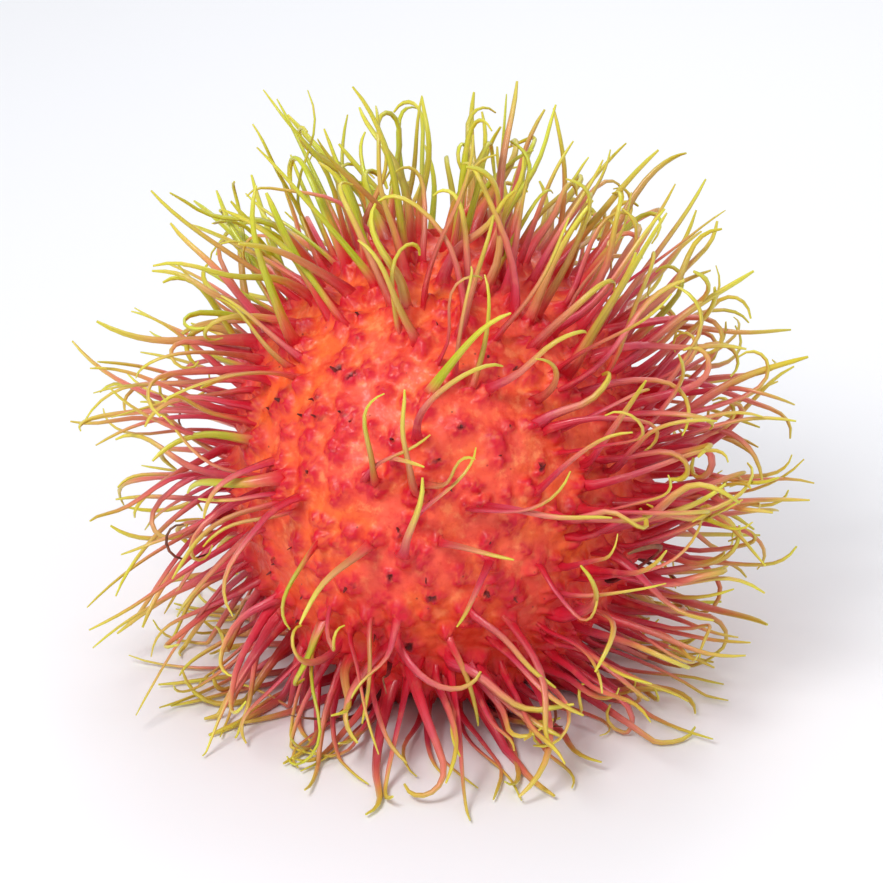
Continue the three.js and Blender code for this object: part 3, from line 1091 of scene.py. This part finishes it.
class MakeSpinterns(bpy.types.Operator):
    """Makes the fresh spinterns, the dried ones and the stubs of the broken ones"""

    bl_idname = "rambutan.make_spinterns"
    bl_label = "Spinterns"

    RINGS = 13  # rings of points along a spintern, which is where it can bend
    FRESH_FORM = {"Flare": 0.09, "Root Thickness": 0.42, "Tip Thickness": 0.75, "Sides": 6}
    DRIED_FORM = {
        "Root Width": 1.5 * MM,
        "Shaft Width": 0.8 * MM,
        "Tip Width": 0.35 * MM,
        "Root Thickness": 0.4,
        "Tip Thickness": 0.5,
    }
    DRIED_LENGTH = 0.75  # share of a fresh one's length
    STUB_RINGS = 5
    STUB_FORM = {
        "Root Width": 1.0 * MM,
        "Shaft Width": 0.6 * MM,
        "Tip Width": 0.3 * MM,
        "Flare": 0.3,
        "Root Thickness": 0.6,
        "Tip Thickness": 0.6,
    }
    STUB_DARKNESS = 0.3  # only the pits that are darker than this have one
    STUB_MILLIMETRES = (0.3, 1.1)  # the shortest and the longest
    STUB_HOOK = 0.2  # shares of a fresh one's hook and bend
    STUB_BEND = 0.3

    def execute(self, context):
        scene = context.scene
        spin = scene.rambutan_spinterns
        fruit = Spheroid(scene.rambutan_rind)
        roots = Roots(scene)
        tree = blade_tree()
        widths = settings_for(BLADE_WIDTHS, spin)

        def make(name, habit, rings, form, skin):
            """A piece with a blade on each of the habit's lines."""
            lines = spintern_lines(name + "_lines", habit, fruit, rings)
            inputs = {**widths, **self.FRESH_FORM, **form, "Skin": skin}
            hand_over(baked(name, tree, inputs, lines))

        fresh = Habit(scene, roots, ~roots.broken & ~roots.dried)
        make("spinterns", fresh, self.RINGS, {}, spintern_material(spin))

        dried = Habit(scene, roots, roots.dried)
        dried.lengths *= self.DRIED_LENGTH
        browns = paint(96, 18, 24), paint(136, 44, 48), paint(140, 96, 62)
        skin = dried_material("rambutan_dried_spintern", *browns)
        make("dried_spinterns", dried, self.RINGS, self.DRIED_FORM, skin)

        stubs = Habit(scene, roots, roots.darkness > self.STUB_DARKNESS)
        rng = np.random.default_rng(spin.seed + 2)
        stubs.lengths = rng.uniform(*self.STUB_MILLIMETRES, len(stubs.lengths)) * MM
        stubs.hooks *= self.STUB_HOOK
        stubs.bends *= self.STUB_BEND
        reds = paint(150, 24, 32), paint(130, 28, 32), paint(112, 44, 38)
        skin = dried_material("rambutan_stub", *reds)
        make("spintern_stubs", stubs, self.STUB_RINGS, self.STUB_FORM, skin)
        return {"FINISHED"}


class MakeStemScar(bpy.types.Operator):
    """Makes the round woody scar where the stalk broke off"""

    bl_idname = "rambutan.make_stem_scar"
    bl_label = "Stem Scar"

    SIDES = 48
    RINGS = 22
    RIM_AT = 0.55  # share of the way out where the woody rim stands
    COLLAR_AT = 0.79  # share of the way out where the skin swells round it
    SKIRT_AT = 0.86  # share of the way out where it starts to go down into the rind
    SUNK = 1.2 * MM
    LEVEL = 0.85  # heights are shares of the scar's height
    RIDGES = (  # share of the way out, height and half width of the dish, the rim and the collar
        (0, -0.25, 0.3),
        (RIM_AT, 0.45, 0.08),
        (COLLAR_AT, 0.45, 0.09),
    )
    LOBES = range(2, 9)  # how many swellings each wave of its outline has
    LOBE_REACH = 0.09  # spread of a wave's reach, shared among its swellings
    ROUGHNESS = 0.05 * MM

    def execute(self, context):
        scene = context.scene
        scar = scene.rambutan_scar
        fruit = Spheroid(scene.rambutan_rind)
        rng = np.random.default_rng(scene.rambutan_spinterns.seed + 3)
        sides, rings = self.SIDES, self.RINGS
        outward = np.linspace(0, 1, rings)
        reach = scar.radius / self.RIM_AT
        radius = reach * outward
        relief = self.LEVEL
        for place, ridge_height, width in self.RIDGES:
            relief = relief + ridge_height * np.exp(-(((outward - place) / width) ** 2))
        skirt = smooth_step(self.SKIRT_AT, 1.0, outward)
        height = scar.height * relief * (1 - skirt) - skirt * self.SUNK
        around = np.arange(sides) * 2 * math.pi / sides
        wobble = np.zeros(sides)
        for k in self.LOBES:
            lobe = rng.normal(0, self.LOBE_REACH / k)
            wobble += lobe * np.cos(k * around + rng.uniform(0, 2 * math.pi))
        points = [(0.0, 0.0, height[0])]
        for r, h, o in zip(radius[1:], height[1:], outward[1:]):
            rough = rng.normal(0, self.ROUGHNESS, sides) * (o < self.COLLAR_AT)
            ring = r * (1 + wobble * o)
            points += zip(ring * np.cos(around), ring * np.sin(around), h + rough)
        points = np.array(points)
        faces = []
        for j in range(sides):
            following = (j + 1) % sides
            faces.append((0, 1 + j, 1 + following))
            for i in range(rings - 2):
                a, b = 1 + i * sides, 1 + (i + 1) * sides
                faces.append((a + j, b + j, b + following, a + following))
        last = 1 + (rings - 2) * sides
        faces.append(tuple(last + j for j in reversed(range(sides))))
        top, _ = fruit.surface(np.array([[0.0, 0.0, 1.0]]))
        placed = points @ fruit.to_world.T + top
        mesh = bpy.data.meshes.new("stem_scar")
        mesh.from_pydata(placed.tolist(), [], faces)
        mesh.shade_smooth()
        hold_facts(mesh, {"outward": np.linalg.norm(points[:, :2], axis=1) / reach})
        mesh.materials.append(scar_material(scar))
        hand_over(new_object("stem_scar", mesh))
        return {"FINISHED"}


class MakeStage(bpy.types.Operator):
    """Makes the floor, the soft lights and the camera"""

    bl_idname = "rambutan.make_stage"
    bl_label = "Stage"

    FLOOR_SIDES = 96
    FLOOR_RADIUS = 60  # this and the next two are in the fruit's own widths
    LAMP_DISTANCE = 4.5
    FURTHEST_SEEN = 100
    FLOOR_ROUGHNESS = 0.7
    SKY_COLOUR = (0.95, 0.97, 1.0)
    SKY_STRENGTH = 0.62
    LIGHTS = (  # name, way out from the fruit, size in its widths and power
        ("key", (-0.7, -1.0, 1.3), 1.5, 4.4),
        ("fill", (1.3, -0.9, 0.7), 2.6, 0.7),
        ("rim", (0.3, 1.3, 1.2), 2.4, 2.0),
    )
    POWER_UNIT = 30  # watts, for a fruit one metre wide
    SENSOR = 36  # millimetres

    def execute(self, context):
        scene = context.scene
        stage = scene.rambutan_stage
        low, high = (np.array(corner) for corner in CAD_BOX)
        centre = (low + high) / 2
        reach = float(np.max(high - low))

        bpy.ops.mesh.primitive_circle_add(
            vertices=self.FLOOR_SIDES, radius=self.FLOOR_RADIUS * reach, fill_type="NGON"
        )
        floor = context.object
        floor.name = "floor"
        material, tree, shader = new_material("floor")
        dress(tree, shader, Base_Color=stage.floor, Roughness=self.FLOOR_ROUGHNESS)
        floor.data.materials.append(material)

        scene.world = bpy.data.worlds.new("world")
        scene.world.use_nodes = True
        sky = scene.world.node_tree
        dress(sky, sky.nodes["Background"], Color=self.SKY_COLOUR, Strength=self.SKY_STRENGTH)

        for name, way, size, power in self.LIGHTS:
            lamp = bpy.data.lights.new(name, "AREA")
            lamp.size = size * reach
            lamp.energy = power * reach**2 * self.POWER_UNIT
            light = new_object(name, lamp)
            aim = unit(np.array(way))
            light.location = centre + aim * self.LAMP_DISTANCE * reach
            light.rotation_euler = Vector(aim).to_track_quat("Z", "Y").to_euler()

        camera = bpy.data.cameras.new("camera")
        camera.lens = stage.lens
        camera.sensor_width = self.SENSOR
        viewer = new_object("camera", camera)
        back = front_way(stage.elevation)
        axes = np.array([(1, 0, 0), np.cross(back, (1, 0, 0)), back])
        seen = mesh_points(bpy.data.objects["spinterns"].data) @ axes.T
        widest = np.max(np.ptp(seen[:, :2], axis=0))
        distance = widest / stage.fill * stage.lens / camera.sensor_width
        aim = (seen.min(axis=0) + seen.max(axis=0)) / 2
        viewer.location = (aim + (0, 0, distance)) @ axes
        viewer.rotation_euler = (math.pi / 2 - stage.elevation, 0, 0)
        camera.clip_end = self.FURTHEST_SEEN * reach
        scene.camera = viewer
        scene.view_settings.view_transform = "Standard"
        return {"FINISHED"}


class RambutanPanel(bpy.types.Panel):
    """Lists the makers"""

    bl_idname = "VIEW3D_PT_rambutan"
    bl_label = "Rambutan"
    bl_space_type = "VIEW_3D"
    bl_region_type = "UI"
    bl_category = "Rambutan"

    def draw(self, context):
        for operator in OPERATORS:
            self.layout.operator(operator.bl_idname)


SETTINGS = {
    "rambutan_rind": RindSettings,
    "rambutan_spinterns": SpinternSettings,
    "rambutan_scar": ScarSettings,
    "rambutan_stage": StageSettings,
}
OPERATORS = (MakeRind, MakeSpinterns, MakeStemScar, MakeStage)
CLASSES = (*SETTINGS.values(), *OPERATORS, RambutanPanel)


def register():
    for made in CLASSES:
        bpy.utils.register_class(made)
    for name, settings in SETTINGS.items():
        setattr(bpy.types.Scene, name, PointerProperty(type=settings))


def unregister():
    for name in SETTINGS:
        delattr(bpy.types.Scene, name)
    for made in reversed(CLASSES):
        bpy.utils.unregister_class(made)


def main():
    register()
    for operator in OPERATORS:
        maker, action = operator.bl_idname.split(".")
        getattr(getattr(bpy.ops, maker), action)()


if __name__ == "__main__":
    main()
